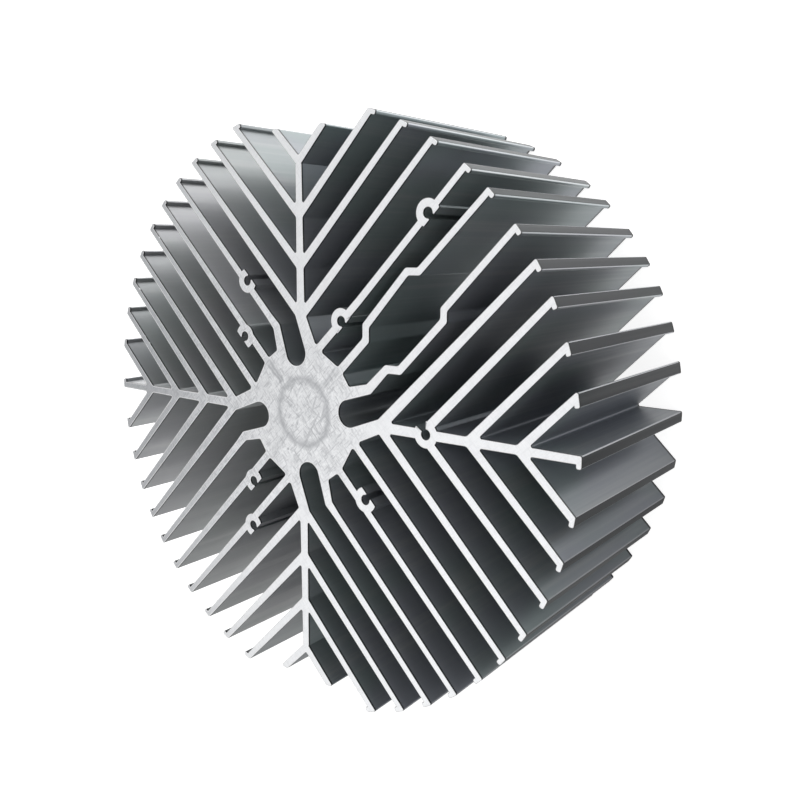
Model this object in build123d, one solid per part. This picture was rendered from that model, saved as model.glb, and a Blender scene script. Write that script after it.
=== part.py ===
from build123d import *
from math import asin, atan2, cos, degrees, hypot, radians, sin, sqrt, tan
import os

os.makedirs("parts", exist_ok=True)

# Round heat sink: one sawn-off length of an extruded aluminium fin profile.
# The profile lies in XY with its centre on the Z axis; the length runs up +Z.
# All sizes are in millimetres, all angles in degrees.

# Sawn length and the circle that the fin ends follow.
length = 61.0
outer_radius = 80.0

# The two fins of each fork end this far inside the outer circle.
fork_fin_cut = 5.2

# They also stand a little further out than their even places.
fork_fin_shift = 0.45

# Fins of a quadrant run parallel to its diagonal, this far apart.
fin_pitch = 9.2
fins_each_side = 5
hub_fins_each_side = 1

# Fin thickness at the outer circle and how much it grows per millimetre inwards.
fin_tip_thickness = 1.55
spine_fin_growth = 0.0165
hub_fin_growth = 0.011

# Fins spread apart a little towards their ends.
fin_spread = 0.3

# The three fins that start on the hub stand a little clockwise of their even places.
hub_fin_shift = 0.25

# How deep those fins are sunk into the hub.
hub_fin_sink = 5.6

# Four spines on the axes carry the outer fins.
spine_tip_thickness = 1.9
spine_growth = 0.0155

# Each spine leans clockwise where it runs into the hub.
spine_foot = (12.7, -5.45)
spine_bend = (26.9, 0.38)
spine_straight = 29.0
spine_foot_thickness = 4.52
spine_bend_thickness = 3.51

# Small lip on the clockwise side of each fin end.
lip_reach = 1.05
lip_thickness = 1.25

# Hub facets, as angles from the clockwise spine of each quadrant.
hub_radius = 18.8
hub_corner_angles = (28.3, 41.5, 47.0, 71.5)

# Round-ended slot between each spine foot and the web beside it.
slot_centre = (16.35, 2.1)
slot_radius = 3.54
slot_heading = 17.5
slot_length = 8.0

# The slot is cut this much wider than its round end; spine foot and web are its walls.
slot_spare = 0.36

# Web along the slot that bends into the most clockwise hub fin.
web_foot = (12.7, 6.47)
web_bend = (22.85, 9.1)
web_foot_thickness = 3.45
web_bend_thickness = 2.6
web_fin_start = 26.5
web_fin_aside = -9.7

# Bends of the first quadrant's middle fin and web fin, as (x, y) places on their middle lines.
first_middle_fin = [(22.0, 21.2), (22.0, 24.8), (34.6, 38.3), (38.0, 38.3)]
first_web_fin = [(28.5, 14.6), (32.4, 14.6), (45.1, 27.2), (45.1, 29.8)]

# Offsets that these two fins reach this far inside the outer circle.
first_run_inset = 2.4
first_middle_aside = -0.4
first_web_aside = -10.8

# The first quadrant's port fin stands closer in: offset at its root, offset beyond its bend.
first_port_fin = (8.5, 7.8)
first_port_fin_bend = 36.0

# One spine fin of the first quadrant has a thick root and spreads further.
first_thick_root = 3.0
first_thick_spread = 1.3

# One spine fin of the last quadrant leans inwards instead.
last_fin_lean = 0.5

# Screw ports: a round boss with a bore that opens through a narrow mouth.
port_bore = 2.6
port_boss_radius = 3.35
port_mouth = 1.7
port_face = 1.42
main_circle_radius = 40.25
inner_circle_radius = 29.1
outer_port_inset = 14.3

# The port on the first spine opens through a wedge between the spine and a fin root.
spine_mouth_angles = (90, 118, 147)

# Corner rounding of the die.
hub_corner_round = 0.7
root_round = 0.4
bend_round = 1.2
tip_round = 0.45

# Outline corners that turn less than the first angle stay; up to the second they are bends.
smallest_turn = 12
largest_bend = 60

# Corners beside a very short side stay; a rounding takes at most this share of a side.
shortest_side = 0.44
largest_share = 0.45

# Hub corners are looked for this far beyond its radius; corners this near to a port stay sharp.
hub_margin = 1.9
port_margin = 0.65


# Point on a circle round the centre.
def on_circle(radius, angle):
    return Vector(radius * cos(radians(angle)), radius * sin(radians(angle)))


# Point from its run along the quadrant's diagonal and its offset to the counter-clockwise side.
def in_quadrant(quadrant, along, aside):
    diagonal = 45 + 90 * quadrant
    return on_circle(along, diagonal) + on_circle(aside, diagonal + 90)


# First-quadrant (x, y) places as runs and offsets.
def to_first_quadrant(places):
    return [((x + y) / sqrt(2), (y - x) / sqrt(2)) for x, y in places]


# Places turned from the first spine to another one.
def turned(places, quadrant):
    return [Vector(*place).rotate(Axis.Z, 90 * quadrant) for place in places]


# Polygon through the given corners, left where they are.
def outline(corners):
    return Polygon(*[(corner.X, corner.Y) for corner in corners], align=None)


# Strip of changing width along a bent line, mitred at its bends.
def band(path, widths):
    runs = [(b - a).normalized() for a, b in zip(path, path[1:])]
    sides = [Vector(-run.Y, run.X) for run in runs]
    mitres = [(a + b) * (1 / (1 + a.dot(b))) for a, b in zip(sides[:1] + sides, sides + sides[-1:])]
    left = [place + mitre * (width / 2) for place, mitre, width in zip(path, mitres, widths)]
    right = [place - mitre * (width / 2) for place, mitre, width in zip(path, mitres, widths)]
    return outline(right + left[::-1])


def fin_thickness(along, growth):
    return fin_tip_thickness + growth * (outer_radius - along)


# Block across a fin end that reaches past the fin's clockwise side.
def end_lip(middle_angle, slant, thickness):
    reach = thickness / 2 / cos(radians(slant)) + lip_reach
    block = Pos(lip_thickness / 2, -reach / 2) * Rectangle(2 * lip_thickness, reach)
    return Pos(on_circle(outer_radius - lip_thickness / 2, middle_angle)) * Rot(0, 0, middle_angle) * block


# Fin through a line of (along, aside) places that runs out to the circle and ends in a lip.
def full_fin(quadrant, line, growth, root=(), spread=0.0):
    line = line + [(outer_radius + lip_thickness, line[-1][1] + spread)]
    widths = [fin_thickness(along, growth) for along, aside in line]
    widths[:len(root)] = root
    bar = band([in_quadrant(quadrant, *place) for place in line], widths)
    slant = degrees(asin(line[-1][1] / (outer_radius - lip_thickness / 2)))
    lip = end_lip(45 + 90 * quadrant + slant, slant, fin_thickness(outer_radius, growth))
    return (bar + lip) & Circle(outer_radius)


# Plain fin without a lip that ends on a smaller circle.
def short_fin(quadrant, start, aside):
    ends = (start, outer_radius)
    line = [in_quadrant(quadrant, along, aside) for along in ends]
    widths = [fin_thickness(along, spine_fin_growth) for along in ends]
    return band(line, widths) & Circle(outer_radius - fork_fin_cut)


pieces = []
for quadrant in range(4):
    # Fins that start on the spines; those beside the forks are short.
    for step in range(hub_fins_each_side + 1, fins_each_side + 1):
        for side in (-1, 1):
            start = step * fin_pitch
            spine = (quadrant + (side > 0)) % 4
            spread = side * fin_spread
            root = []
            if step == hub_fins_each_side + 1 and quadrant == 0 and side < 0:
                spread = side * first_thick_spread
                root = [first_thick_root]
            if step == hub_fins_each_side + 1 and quadrant == 3 and side > 0:
                spread = -last_fin_lean
            if step == fins_each_side and spine % 2 == 1:
                pieces.append(short_fin(quadrant, start, side * (start + fork_fin_shift)))
            else:
                pieces.append(full_fin(quadrant, [(start, side * start)], spine_fin_growth, root, spread))

    # Three hub fins: the middle one, the counter-clockwise one and the one on the web.
    hub_fin_start = hub_radius - hub_fin_sink
    middle_line = [(hub_fin_start, -hub_fin_shift)]
    last_line = [(hub_fin_start, fin_pitch - hub_fin_shift)]
    web_line = to_first_quadrant([web_foot, web_bend])
    if quadrant == 0:
        middle_line += to_first_quadrant(first_middle_fin)
        middle_line += [(outer_radius - first_run_inset, first_middle_aside)]
        last_line = [(hub_fin_start, first_port_fin[0]), (first_port_fin_bend, first_port_fin[1])]
        web_line += to_first_quadrant(first_web_fin)
        web_line += [(outer_radius - first_run_inset, first_web_aside)]
    else:
        web_line += [(web_fin_start, web_fin_aside)]
    pieces.append(full_fin(quadrant, middle_line, hub_fin_growth))
    pieces.append(full_fin(quadrant, last_line, hub_fin_growth))
    pieces.append(full_fin(quadrant, web_line, hub_fin_growth, [web_foot_thickness, web_bend_thickness]))

    # Spine: leaning foot, then straight out; the side spines run on to the circle.
    spine_end = outer_radius + lip_thickness
    if quadrant % 2 == 1:
        spine_end = fins_each_side * fin_pitch * sqrt(2)
    spine_line = turned([spine_foot, spine_bend, (spine_straight, 0), (spine_end, 0)], quadrant)
    widths = [spine_foot_thickness, spine_bend_thickness]
    widths += [spine_tip_thickness + spine_growth * (outer_radius - s) for s in (spine_straight, spine_end)]
    spine = band(spine_line, widths)
    if quadrant % 2 == 0:
        spine = spine + end_lip(90 * quadrant, 0, spine_tip_thickness)
    pieces.append(spine & Circle(outer_radius))

# Solid hub with its facets and the round slot ends.
hub = outline([on_circle(hub_radius, 90 * q + a) for q in range(4) for a in hub_corner_angles])
slot_sides = Rectangle(slot_length, 2 * (slot_radius + slot_spare))
slot = Circle(slot_radius) + Pos(slot_length / 2, 0) * slot_sides
for quadrant in range(4):
    hub = hub - Rot(0, 0, 90 * quadrant) * Pos(*slot_centre) * Rot(0, 0, slot_heading) * slot
pieces.append(hub)

# Ports as (circle radius, angle, direction of the mouth); the mouths face across the fins.
ports = [
    (main_circle_radius, 120, 45),
    (main_circle_radius, 240, 315),
    (inner_circle_radius, 138, 225),
    (inner_circle_radius, 228, 315),
    (inner_circle_radius, 318, 45),
    (inner_circle_radius, 61.3, 315),
    (outer_radius - outer_port_inset, 51.9, 315),
]
cuts = []
for radius, angle, mouth in ports:
    place = Pos(on_circle(radius, angle)) * Rot(0, 0, mouth)
    beyond = Pos(port_face + port_boss_radius, 0) * Rectangle(2 * port_boss_radius, 2 * port_boss_radius)
    pieces.append(place * (Circle(port_boss_radius) - beyond))
    cuts.append(place * Circle(port_bore / 2))
    cuts.append(place * Pos(port_face, 0) * Rectangle(2 * port_face, port_mouth))

# The last port sits on the first spine.
spine_port = Pos(on_circle(main_circle_radius, 0))
pieces.append(spine_port * Circle(port_boss_radius))
cuts.append(spine_port * Circle(port_bore / 2))
wedge = [Vector(0, 0)] + [on_circle(port_boss_radius + port_margin, angle) for angle in spine_mouth_angles]
cuts.append(spine_port * outline(wedge))

profile = (Sketch() + pieces) - cuts

port_places = [on_circle(radius, angle) for radius, angle, mouth in ports]
port_places.append(on_circle(main_circle_radius, 0))


# Rounding wanted at a corner, from its place, its turn (left is outward) and its shorter side.
def rounding(place, turn, side):
    if abs(turn) < smallest_turn or side < shortest_side:
        return 0
    to_port = min((place - port).length for port in port_places)
    reach = hypot(place.X, place.Y)
    if to_port < port_boss_radius + port_margin:
        return 0
    if reach > outer_radius - 2 * lip_thickness:
        return tip_round if turn > 0 else 0
    if reach < hub_radius + hub_margin:
        return hub_corner_round
    if abs(turn) < largest_bend:
        return bend_round
    return root_round if turn < 0 else tip_round


# How far each corner's rounding runs back along the two sides that meet there.
edges = list(profile.face().outer_wire().order_edges())
runs = []
for last, edge in zip(edges[-1:] + edges, edges):
    a, b = last % 1, edge % 0
    turn = degrees(atan2(a.X * b.Y - a.Y * b.X, a.dot(b)))
    side = min(last.length, edge.length)
    run = rounding(edge @ 0, turn, side) * tan(radians(abs(turn)) / 2)
    runs.append(min(run, largest_share * side))

# Each side is cut back at both ends, and tangent arcs join what is left.
sides = []
for edge, start, end in zip(edges, runs, runs[1:] + runs[:1]):
    sides.append(edge.trim(start / edge.length, 1 - end / edge.length) if start or end else edge)
rounded = []
for side, after, run in zip(sides, sides[1:] + sides[:1], runs[1:] + runs[:1]):
    rounded.append(side)
    if run:
        rounded.append(TangentArc(side @ 1, after @ 0, tangent=side % 1))
profile = make_face(Wire(rounded))

export_step(extrude(profile, length), "parts/heat_sink.step")
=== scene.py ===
import math

import bmesh
import bpy
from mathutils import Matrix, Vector


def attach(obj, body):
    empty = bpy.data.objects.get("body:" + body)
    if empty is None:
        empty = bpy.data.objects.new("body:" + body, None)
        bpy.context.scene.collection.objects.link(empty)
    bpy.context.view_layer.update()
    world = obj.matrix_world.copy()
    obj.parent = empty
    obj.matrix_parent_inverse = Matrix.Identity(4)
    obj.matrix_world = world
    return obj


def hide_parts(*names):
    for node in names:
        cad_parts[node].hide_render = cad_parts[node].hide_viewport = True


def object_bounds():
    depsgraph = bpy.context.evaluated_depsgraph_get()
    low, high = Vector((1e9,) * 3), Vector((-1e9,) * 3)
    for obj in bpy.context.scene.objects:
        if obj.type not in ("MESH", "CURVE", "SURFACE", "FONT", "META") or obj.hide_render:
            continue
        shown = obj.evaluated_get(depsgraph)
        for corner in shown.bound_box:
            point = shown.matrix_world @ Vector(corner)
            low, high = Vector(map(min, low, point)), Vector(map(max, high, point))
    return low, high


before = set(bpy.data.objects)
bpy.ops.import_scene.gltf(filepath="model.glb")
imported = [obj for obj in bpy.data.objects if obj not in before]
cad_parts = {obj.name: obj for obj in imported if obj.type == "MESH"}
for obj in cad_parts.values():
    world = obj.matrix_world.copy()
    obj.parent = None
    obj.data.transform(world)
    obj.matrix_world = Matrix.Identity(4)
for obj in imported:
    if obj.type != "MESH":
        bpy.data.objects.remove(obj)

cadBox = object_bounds()


# One math step; a number goes on the socket, a socket is linked.
def addMath(tree, operation, first, second=None):
    node = tree.nodes.new("ShaderNodeMath")
    node.operation = operation
    for index, value in enumerate((first, second)):
        if value is None:
            continue
        if isinstance(value, (int, float)):
            node.inputs[index].default_value = value
        else:
            tree.links.new(value, node.inputs[index])
    return node.outputs[0]


def plus(tree, first, second):
    return addMath(tree, "ADD", first, second)


def minus(tree, first, second):
    return addMath(tree, "SUBTRACT", first, second)


def times(tree, first, second):
    return addMath(tree, "MULTIPLY", first, second)


def unsigned(tree, value):
    return addMath(tree, "ABSOLUTE", value)


# Stretches a value from one span to another, smoothly unless told otherwise.
def addRange(tree, value, fromMin, fromMax, toMin=0.0, toMax=1.0, smooth=True):
    node = tree.nodes.new("ShaderNodeMapRange")
    node.interpolation_type = "SMOOTHSTEP" if smooth else "LINEAR"
    tree.links.new(value, node.inputs["Value"])
    for name, number in (("From Min", fromMin), ("From Max", fromMax), ("To Min", toMin), ("To Max", toMax)):
        node.inputs[name].default_value = number
    return node.outputs["Result"]


# Mixes two colours; each may be a plain colour or a socket.
def addMix(tree, factor, first, second):
    node = tree.nodes.new("ShaderNodeMix")
    node.data_type = "RGBA"
    for socket, value in ((node.inputs[0], factor), (node.inputs[6], first), (node.inputs[7], second)):
        if isinstance(value, tuple):
            socket.default_value = (*value, 1.0)
        else:
            tree.links.new(value, socket)
    return node.outputs[2]


# Noise on the object's own coordinates; a stretch along one axis, then a turn, draws lines.
def addNoise(tree, place, scale, turn=0.0, stretch=(1.0, 1.0, 1.0), detail=2.0, rough=0.5, distort=0.0):
    mapping = tree.nodes.new("ShaderNodeMapping")
    mapping.vector_type = "TEXTURE"
    mapping.inputs["Rotation"].default_value = (0.0, 0.0, math.radians(turn))
    mapping.inputs["Scale"].default_value = stretch
    tree.links.new(place, mapping.inputs["Vector"])
    noise = tree.nodes.new("ShaderNodeTexNoise")
    for name, number in (("Scale", scale), ("Detail", detail), ("Roughness", rough), ("Distortion", distort)):
        noise.inputs[name].default_value = number
    tree.links.new(mapping.outputs["Vector"], noise.inputs["Vector"])
    return noise.outputs["Fac"]


# East, north and height of a place.
def splitPlace(tree, place):
    split = tree.nodes.new("ShaderNodeSeparateXYZ")
    tree.links.new(place, split.inputs[0])
    return split.outputs["X"], split.outputs["Y"], split.outputs["Z"]


# Distance from a point of the plan.
def addRadius(tree, x, y, centre):
    east = minus(tree, x, centre[0])
    north = minus(tree, y, centre[1])
    squares = plus(tree, times(tree, east, east), times(tree, north, north))
    return addMath(tree, "SQRT", squares)


# A round spot: one within its inner reach, nothing beyond its outer one.
def addSpot(tree, x, y, spot):
    return addRange(tree, addRadius(tree, x, y, spot["centre"]), spot["outer"], spot["inner"])


# One minus a share of a mask.
def addFade(tree, mask, share):
    return minus(tree, 1.0, times(tree, mask, share))


# New material with its surface shader.
def startMaterial(name):
    material = bpy.data.materials.new(name)
    material.use_nodes = True
    tree = material.node_tree
    shader = next(node for node in tree.nodes if node.type == "BSDF_PRINCIPLED")
    place = tree.nodes.new("ShaderNodeTexCoord").outputs["Object"]
    return material, tree, shader, place


def addBump(tree, shader, height, look):
    bump = tree.nodes.new("ShaderNodeBump")
    bump.inputs["Strength"].default_value = look["bumpStrength"]
    bump.inputs["Distance"].default_value = look["bumpDepth"]
    tree.links.new(height, bump.inputs["Height"])
    tree.links.new(bump.outputs["Normal"], shader.inputs["Normal"])


# Bare aluminium of the sawn ends; lengths in metres.
sawnFace = {
    "bright": (0.93, 0.94, 0.955),
    "dull": (0.40, 0.41, 0.43),
    "roughness": (0.50, 0.36),  # where dull, where bright
    "roughSpan": (0.3, 1.0),
    "bumpStrength": 0.3,
    "bumpDepth": 0.00002,
    # crossing saw lines, and shallower ones over them
    "lineScale": 1900.0,
    "lineTurns": (41, -47),
    "lineStretch": (1.0, 7.0, 1.0),
    "lineRough": 0.6,
    "lineSpan": (0.34, 0.48),
    "lineLow": 0.58,
    "shallowScale": 1140.0,
    "shallowTurn": 6,
    "shallowStretch": (1.0, 6.0, 1.0),
    "shallowSpan": (0.30, 0.50),
    "shallowLow": 0.7,
    # longer scratches inside the ring: scale and turn of each kind
    "scratches": ((1050.0, 58), (980.0, -28)),
    "scratchStretch": (1.0, 9.0, 1.0),
    "scratchDistort": 0.4,
    "scratchSpan": (0.34, 0.44),
    "scratchShare": 0.40,
    # fuzzy grey ring
    "ringCentre": (0.0004, 0.0006),
    "ringRadius": 0.0089,
    "ringWidth": 0.0016,
    "ringInside": 0.0074,
    "ringShare": 0.62,
    "wanderScale": 420.0,
    "wanderWidth": 0.0018,
    # four double weld lines between hub and slots, fainter toward the lower right
    "weldGap": 0.0006,
    "weldShift": 0.0006,
    "weldWidth": 0.0010,
    "weldStart": (0.0100, 0.0112),
    "weldEnd": (0.0195, 0.0155),
    "weldSlope": 1.6,
    "weldSpan": (-0.008, 0.024),
    "weldShare": (0.25, 0.70),
    # mottled grey
    "blotchScale": 1500.0,
    "blotchSpan": (0.40, 0.62),
    "blotchLow": 0.80,
    "patchScale": 260.0,
    "patchSpan": (0.38, 0.60),
    "patchLow": 0.86,
    # painted shade: the finish darkens toward the left; painted light makes it even and bright away from it,
    # outside the hub
    "paintedShadeSide": (-0.015, -0.070),
    "paintedShadeShare": 0.66,
    "paintedShadeCentre": (-0.042, 0.000),
    "paintedShadeReach": (0.024, 0.056),
    "paintedLightShare": 0.74,
    "paintedLightLevel": 0.96,
    "hubReach": (0.014, 0.026),
    # two small marks on the hub
    "speck": {"centre": (-0.0056, -0.0103), "outer": 0.0005, "inner": 0.0001},
    "speckShare": 0.8,
    "flake": {"centre": (-0.0034, -0.0111), "outer": 0.0006, "inner": 0.0002},
}


def addSawLines(tree, place, look):
    lines = []
    for turn in look["lineTurns"]:
        noise = addNoise(tree, place, look["lineScale"], turn, look["lineStretch"], rough=look["lineRough"])
        lines.append(addRange(tree, noise, *look["lineSpan"]))
    shallow = addNoise(tree, place, look["shallowScale"], look["shallowTurn"], look["shallowStretch"])
    shallow = addRange(tree, shallow, *look["shallowSpan"])
    return times(tree, times(tree, *lines), addRange(tree, shallow, 0.0, 1.0, look["shallowLow"], 1.0))


def addScratches(tree, place, radius, look):
    lines = []
    for scale, turn in look["scratches"]:
        noise = addNoise(tree, place, scale, turn, look["scratchStretch"], distort=look["scratchDistort"])
        lines.append(addRange(tree, noise, *look["scratchSpan"]))
    inside = addRange(tree, radius, look["ringRadius"], look["ringInside"])
    return times(tree, inside, minus(tree, 1.0, times(tree, *lines)))


# The grey ring and the weld lines, which waver a little.
def addRingAndWelds(tree, place, x, y, radius, look):
    wander = addNoise(tree, place, look["wanderScale"], detail=3.0, rough=0.6)
    sway = times(tree, minus(tree, wander, 0.5), look["wanderWidth"])
    away = unsigned(tree, minus(tree, plus(tree, radius, sway), look["ringRadius"]))
    ring = addRange(tree, away, look["ringWidth"], 0.0, 0.0, 1.0, False)
    diagonal = minus(tree, unsigned(tree, x), unsigned(tree, y))
    diagonal = unsigned(tree, plus(tree, diagonal, plus(tree, sway, look["weldShift"])))
    diagonal = unsigned(tree, minus(tree, diagonal, look["weldGap"]))
    weld = addRange(tree, diagonal, look["weldWidth"], 0.0, 0.0, 1.0, False)
    weld = times(tree, weld, addRange(tree, radius, *look["weldStart"]))
    weld = times(tree, weld, addRange(tree, radius, *look["weldEnd"]))
    upper = minus(tree, times(tree, y, look["weldSlope"]), x)
    weld = times(tree, weld, addRange(tree, upper, *look["weldSpan"], *look["weldShare"]))
    return ring, weld


def makeSawnFace(look):
    material, tree, shader, place = startMaterial("bareSawnAluminium")
    x, y = splitPlace(tree, place)[:2]
    radius = addRadius(tree, x, y, look["ringCentre"])
    lines = addSawLines(tree, place, look)
    scratches = addScratches(tree, place, radius, look)
    ring, weld = addRingAndWelds(tree, place, x, y, radius, look)

    blotch = addNoise(tree, place, look["blotchScale"], detail=4.0, rough=0.7)
    blotch = addRange(tree, blotch, *look["blotchSpan"])
    patch = addNoise(tree, place, look["patchScale"], detail=3.0, rough=0.6)
    patch = addRange(tree, patch, *look["patchSpan"])
    # painted shade toward the left
    side = addRange(tree, x, *look["paintedShadeSide"])

    # from dull, 0, to bright, 1
    clean = addRange(tree, lines, 0.0, 1.0, look["lineLow"], 1.0, False)
    clean = times(tree, clean, addFade(tree, scratches, look["scratchShare"]))
    clean = times(tree, clean, addRange(tree, blotch, 0.0, 1.0, look["blotchLow"], 1.0, False))
    clean = times(tree, clean, addRange(tree, patch, 0.0, 1.0, look["patchLow"], 1.0, False))
    # painted light: even brightness away from the left, outside the hub
    even = addRadius(tree, x, y, look["paintedShadeCentre"])
    even = addRange(tree, even, *look["paintedShadeReach"], 0.0, look["paintedLightShare"])
    even = times(tree, even, addRange(tree, radius, *look["hubReach"]))
    clean = plus(tree, clean, times(tree, even, minus(tree, look["paintedLightLevel"], clean)))
    marks = addMath(tree, "MAXIMUM", times(tree, ring, look["ringShare"]), weld)
    clean = times(tree, clean, minus(tree, 1.0, marks))
    # painted shade toward the left
    clean = times(tree, clean, addFade(tree, side, look["paintedShadeShare"]))
    clean = times(tree, clean, addFade(tree, addSpot(tree, x, y, look["speck"]), look["speckShare"]))
    clean = addMath(tree, "MAXIMUM", clean, addSpot(tree, x, y, look["flake"]))

    tree.links.new(addMix(tree, clean, look["dull"], look["bright"]), shader.inputs["Base Color"])
    shader.inputs["Metallic"].default_value = 1.0
    rough = addRange(tree, clean, *look["roughSpan"], *look["roughness"])
    tree.links.new(rough, shader.inputs["Roughness"])
    addBump(tree, shader, clean, look)
    return material


# Painted highlight as a bright rim round the sawn ends, and painted shade as a grey rounded-off edge outside
# it.
paintedHighlightEdge = {
    "colour": (0.985, 0.99, 0.995),
    "shade": 0.88,  # share of the colour in the darker grain
    "grainScale": 1500.0,
    "grainSpan": (0.3, 0.7),
    "metal": 0.5,
    "roughness": 0.35,
}
paintedShadeEdge = dict(paintedHighlightEdge, colour=(0.42, 0.43, 0.44), metal=0.6, roughness=0.40)


def makePaintedEdge(name, look):
    material, tree, shader, place = startMaterial(name)
    grain = addRange(tree, addNoise(tree, place, look["grainScale"], rough=0.6), *look["grainSpan"])
    darker = tuple(look["shade"] * part for part in look["colour"])
    tree.links.new(addMix(tree, grain, darker, look["colour"]), shader.inputs["Base Color"])
    shader.inputs["Metallic"].default_value = look["metal"]
    shader.inputs["Roughness"].default_value = look["roughness"]
    return material


# Black anodised walls.
anodised = {
    "green": (0.296, 0.352, 0.359),
    "purple": (0.314, 0.335, 0.374),
    "streak": (0.430, 0.450, 0.455),
    "edge": (0.012, 0.012, 0.013),
    "paintedSheen": (0.560, 0.552, 0.550),
    "paintedSheenShare": 0.54,
    "paintedSheenSide": (0.014, -0.044),  # painted sheen: the walls are lighter toward this side
    "metal": 0.5,
    "specular": 0.5,
    "roughness": (0.40, 0.30),    # between streaks, on streaks
    "roughSpan": (0.3, 0.7),
    "bumpStrength": 0.2,
    "bumpDepth": 0.00002,
    # streaks of the die: broad and fine ones
    "broadScale": 110.0,
    "broadStretch": (1.0, 1.0, 33.0),
    "broadShare": 0.6,
    "fineScale": 900.0,
    "fineStretch": (1.0, 1.0, 100.0),
    "fineShare": 0.4,
    "streakSpan": (0.45, 0.72),
    "streakShare": 0.7,
    "tintScale": 38.0,
    "tintTurn": 20,
    "tintStretch": (1.0, 1.0, 2.5),
    "tintSpan": (0.40, 0.60),
    # dark line painted along the cut edge, twice as deep at the lower end, where it is painted shade against
    # the floor
    "edgeDepth": (0.00065, 0.0003),
    "edgeShare": 0.9,
    "lowerEnd": 0.5,
    # bright chips at the upper edge
    "chips": ((-0.0581, 0.0471), (-0.0692, 0.0315), (-0.0671, 0.0169), (-0.0652, 0.0148), (-0.0346, 0.0502)),
    "chipReach": (0.0011, 0.00088),
    "chipRagged": 0.0008,
    "raggedScale": 900.0,
}
# painted shade: the ends of the fins get a darker copy of the wall finish
shadedLip = dict(
    anodised,
    green=(0.040, 0.048, 0.050),
    purple=(0.044, 0.047, 0.052),
    streak=(0.075, 0.082, 0.085),
    paintedSheen=(0.12, 0.125, 0.13),
    metal=0.18,
    specular=0.18,
)
# painted highlight: the rounded edges of the fins' ends get a lighter copy of the wall finish
lipHighlight = dict(
    anodised,
    green=(0.470, 0.510, 0.520),
    purple=(0.490, 0.500, 0.530),
    streak=(0.620, 0.630, 0.640),
    metal=0.85,
)
# painted shade: walls that face the other way get a darker copy of the finish
shadedWallSkin = dict(
    anodised,
    green=(0.135, 0.168, 0.173),
    purple=(0.146, 0.158, 0.178),
    streak=(0.230, 0.241, 0.245),
    paintedSheenShare=0.10,
)


def makeAnodised(name, look, top):
    material, tree, shader, place = startMaterial(name)
    x, y, height = splitPlace(tree, place)

    # streaks of the die run the whole length
    broad = addNoise(tree, place, look["broadScale"], 0.0, look["broadStretch"], 3.0, 0.55)
    fine = addNoise(tree, place, look["fineScale"], 0.0, look["fineStretch"], 3.0, 0.6)
    streak = plus(tree, times(tree, broad, look["broadShare"]), times(tree, fine, look["fineShare"]))
    tint = addNoise(tree, place, look["tintScale"], look["tintTurn"], look["tintStretch"])
    colour = addMix(tree, addRange(tree, tint, *look["tintSpan"]), look["green"], look["purple"])
    streaked = addRange(tree, streak, *look["streakSpan"], 0.0, look["streakShare"])
    colour = addMix(tree, streaked, colour, look["streak"])
    # painted sheen: the walls are lighter toward the left
    paintedSheen = addRange(tree, x, *look["paintedSheenSide"], 0.0, look["paintedSheenShare"])
    colour = addMix(tree, paintedSheen, colour, look["paintedSheen"])

    # a dark line is painted along the cut edges, deeper at the lower end as painted shade against the floor,
    # with a few bright chips
    fromTop = minus(tree, top, height)
    fromEnd = addMath(tree, "MINIMUM", fromTop, times(tree, height, look["lowerEnd"]))
    edge = addRange(tree, fromEnd, *look["edgeDepth"], 0.0, look["edgeShare"])
    colour = addMix(tree, edge, colour, look["edge"])
    ragged = addNoise(tree, place, look["raggedScale"], rough=0.6)
    depth = plus(tree, fromTop, times(tree, ragged, look["chipRagged"]))
    for centre in look["chips"]:
        spot = plus(tree, addRadius(tree, x, y, centre), depth)
        colour = addMix(tree, addRange(tree, spot, *look["chipReach"]), colour, sawnFace["bright"])

    tree.links.new(colour, shader.inputs["Base Color"])
    shader.inputs["Metallic"].default_value = look["metal"]
    shader.inputs["Specular IOR Level"].default_value = look["specular"]
    rough = addRange(tree, streak, *look["roughSpan"], *look["roughness"])
    tree.links.new(rough, shader.inputs["Roughness"])
    addBump(tree, shader, fine, look)
    return material


# The sink itself: the merged CAD mesh with a rim round each sawn end.
sinkShape = {
    "mergeWithin": 1e-6,
    "flatWithin": 0.01,       # triangles of a wall that bend less than this are joined
    "anyShape": 3.2,          # whatever the shape of the joined face
    "outlineWidth": 0.00009,  # painted shade: grey rounded-off edge of each sawn face
    "rimWidth": 0.00018,      # painted highlight: bright rim inside it
    "smoothAngle": 32.0,
    "lipStart": 0.86,         # share of the outer radius from which the fins' ends are told apart
    "lipFacing": 0.90,        # the end of a fin faces outward by more than this
    "edgeFacing": 0.25,       # its rounded edges face outward by more than this
    "narrowEdge": 0.0003,     # and their faces are narrower than this
    "shadedFacing": -0.3,       # walls that face this far to the left get the painted-shade copy
}
sinkSlots = {"wall": 0, "sawn": 1, "rim": 2, "lip": 3, "lipHighlight": 4, "outline": 5, "shadedWall": 6}


capFacing = 0.5  # a sawn face looks up or down by more than this


# Which finish a wall face gets, by its place and the way it faces.
def chooseWallSlot(face, reach, look):
    slot = "wall"
    outward = Vector((*face.calc_center_median().xy, 0.0))
    facing = face.normal.dot(outward.normalized())
    if outward.length > look["lipStart"] * reach and facing > look["edgeFacing"]:
        narrow = min(edge.calc_length() for edge in face.edges) < look["narrowEdge"]
        if facing > look["lipFacing"]:
            slot = "lip"
        elif narrow:
            slot = "lipHighlight"
    # walls facing left take the painted-shade copy
    if slot == "wall" and face.normal.x < look["shadedFacing"]:
        slot = "shadedWall"
    return sinkSlots[slot]


def findWalls(shape):
    return [face for face in shape.faces if abs(face.normal.z) < capFacing]


def findCap(shape, up):
    return [face for face in shape.faces if face.normal.z * up > capFacing]


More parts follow.
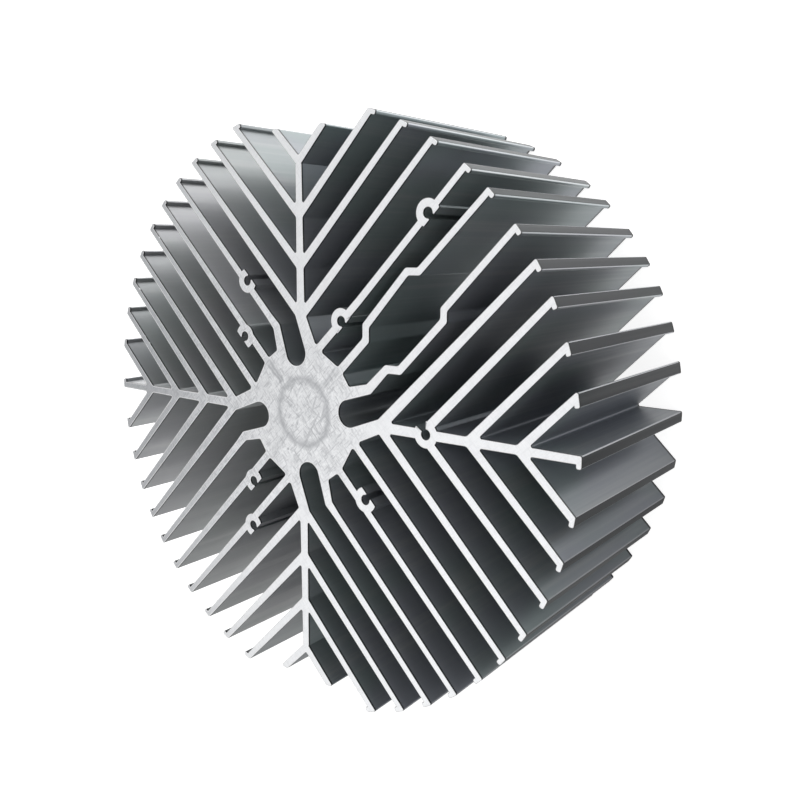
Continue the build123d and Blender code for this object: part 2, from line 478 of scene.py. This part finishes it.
def buildSink(source, reach, look):
    shape = bmesh.new()
    shape.from_mesh(source.data)
    bmesh.ops.remove_doubles(shape, verts=shape.verts, dist=look["mergeWithin"])
    bmesh.ops.join_triangles(
        shape, faces=findWalls(shape),
        angle_face_threshold=look["flatWithin"], angle_shape_threshold=look["anyShape"])
    for face in shape.faces:
        face.smooth = True
        face.material_index = sinkSlots["sawn"]
    for face in findWalls(shape):
        face.material_index = chooseWallSlot(face, reach, look)

    # an outline of painted shade and a rim of painted highlight are set off from each sawn face
    rings = ((look["outlineWidth"], sinkSlots["outline"]), (look["rimWidth"], sinkSlots["rim"]))
    for up in (1, -1):
        cap = findCap(shape, up)
        for width, slot in rings:
            made = bmesh.ops.inset_region(
                shape, faces=cap, thickness=width, use_boundary=True, use_even_offset=False)
            for face in made["faces"]:
                face.material_index = slot
                face.smooth = True

    for edge in shape.edges:
        if edge.calc_face_angle(0.0) > math.radians(look["smoothAngle"]):
            edge.smooth = False
    mesh = bpy.data.meshes.new("roundSink")
    shape.to_mesh(mesh)
    shape.free()
    oldNormals = mesh.attributes.get("custom_normal")
    if oldNormals:
        mesh.attributes.remove(oldNormals)
    sink = bpy.data.objects.new("roundSink", mesh)
    bpy.context.scene.collection.objects.link(sink)
    return sink


top = cadBox[1][2]
sink = buildSink(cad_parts["heat_sink"], cadBox[1][0], sinkShape)
# in the order of sinkSlots
for material in (
    makeAnodised("blackAnodised", anodised, top),
    makeSawnFace(sawnFace),
    # painted highlight rim
    makePaintedEdge("paintedHighlightRim", paintedHighlightEdge),
    # painted shade on the ends of the fins
    makeAnodised("shadedLip", shadedLip, top),
    # painted highlight on the rounded edges of the fins' ends
    makeAnodised("lipHighlight", lipHighlight, top),
    # painted shade outline
    makePaintedEdge("paintedShadeOutline", paintedShadeEdge),
    # painted shade on the walls that face left
    makeAnodised("shadedWallSkin", shadedWallSkin, top),
):
    sink.data.materials.append(material)
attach(sink, "root")
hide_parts("heat_sink")
print("sink faces:", len(sink.data.polygons))


# Floor that is white to the camera and keeps the shadow of the sink.
floorLook = {
    "half": 1.6,
    "colour": (0.82, 0.82, 0.82),
    "shade": (0.36, 0.36, 0.36),     # painted shade: its colour darkens toward the lower right
    "roughness": 0.8,
    "specular": 0.2,
    "lift": 0.85,                    # glow that the camera sees
    "mirrored": (1.0, 0.16),         # glow that metal mirrors, with painted shade toward the lower right
    "mirrorSpan": (-0.030, 0.078),
    "eastShare": 0.6,
}


def buildFloor(look):
    shape = bmesh.new()
    bmesh.ops.create_grid(shape, x_segments=1, y_segments=1, size=look["half"])
    mesh = bpy.data.meshes.new("floor")
    shape.to_mesh(mesh)
    shape.free()
    floor = bpy.data.objects.new("floor", mesh)
    bpy.context.scene.collection.objects.link(floor)

    material, tree, shader, place = startMaterial("paleFloor")
    shader.inputs["Roughness"].default_value = look["roughness"]
    shader.inputs["Specular IOR Level"].default_value = look["specular"]
    path = tree.nodes.new("ShaderNodeLightPath")
    mirrored = addMath(tree, "MAXIMUM", path.outputs["Is Glossy Ray"], path.outputs["Is Transmission Ray"])
    x, y = splitPlace(tree, place)[:2]
    # painted shade toward the lower right, in the floor's colour and in the glow that metal mirrors
    aside = minus(tree, times(tree, x, look["eastShare"]), y)
    strength = addRange(tree, aside, *look["mirrorSpan"], *look["mirrored"], False)
    mirrored = times(tree, mirrored, strength)
    fade = addRange(tree, aside, *look["mirrorSpan"], 0.0, 1.0, False)
    tree.links.new(addMix(tree, fade, look["colour"], look["shade"]), shader.inputs["Base Color"])
    seen = times(tree, path.outputs["Is Camera Ray"], look["lift"])
    shader.inputs["Emission Color"].default_value = (1.0, 1.0, 1.0, 1.0)
    tree.links.new(addMath(tree, "MAXIMUM", seen, mirrored), shader.inputs["Emission Strength"])
    mesh.materials.append(material)


buildFloor(floorLook)
print("floor laid")


# Soft light: a sky that is brighter overhead, and two lamps from the left.
studio = {
    "skyLow": 0.30,
    "skyHigh": 1.0,
    "skySpan": (0.38, 0.80),
    "aim": (0.0, 0.0, 0.03),
    "lamps": [
        # name, place, width, height, power
        ("lowerLeft", (-0.6, -0.65, 0.75), 0.8, 0.8, 0.60),
        ("upperLeft", (-0.50, 0.75, 0.14), 1.0, 0.22, 7.5),
    ],
}


def lightStudio(look):
    world = bpy.data.worlds.new("studio")
    bpy.context.scene.world = world
    world.use_nodes = True
    tree = world.node_tree
    back = next(node for node in tree.nodes if node.type == "BACKGROUND")
    path = tree.nodes.new("ShaderNodeLightPath")
    back.inputs["Color"].default_value = (1.0, 1.0, 1.0, 1.0)
    height = splitPlace(tree, tree.nodes.new("ShaderNodeTexCoord").outputs["Generated"])[2]
    sky = addRange(tree, height, *look["skySpan"], look["skyLow"], look["skyHigh"])
    shown = addMath(tree, "MAXIMUM", sky, path.outputs["Is Camera Ray"])
    tree.links.new(shown, back.inputs["Strength"])
    for name, place, width, depth, power in look["lamps"]:
        lamp = bpy.data.lights.new(name, "AREA")
        lamp.shape = "RECTANGLE"
        lamp.size = width
        lamp.size_y = depth
        lamp.energy = power
        holder = bpy.data.objects.new(name, lamp)
        holder.location = place
        toward = Vector(look["aim"]) - Vector(place)
        holder.rotation_euler = toward.to_track_quat("-Z", "Y").to_euler()
        bpy.context.scene.collection.objects.link(holder)


lightStudio(studio)
print("lamps:", len(studio["lamps"]))


# Camera as in the photo; angles in degrees.
view = {
    "place": (0.1517667, 0.0436706, 0.2174434),
    "turn": (-8.15157, 37.98030, -0.04879),
    "sensor": 36.0,
    "lens": 37.3417,
    "shift": (0.01246, -0.04169),
    "nearest": 0.01,
}


def placeCamera(look):
    data = bpy.data.cameras.new("camera")
    data.sensor_width = look["sensor"]
    data.lens = look["lens"]
    data.shift_x, data.shift_y = look["shift"]
    data.clip_start = look["nearest"]
    camera = bpy.data.objects.new("camera", data)
    camera.location = look["place"]
    camera.rotation_euler = [math.radians(angle) for angle in look["turn"]]
    bpy.context.scene.collection.objects.link(camera)
    bpy.context.scene.camera = camera


placeCamera(view)
bpy.context.scene.view_settings.view_transform = "Standard"
print("camera placed")
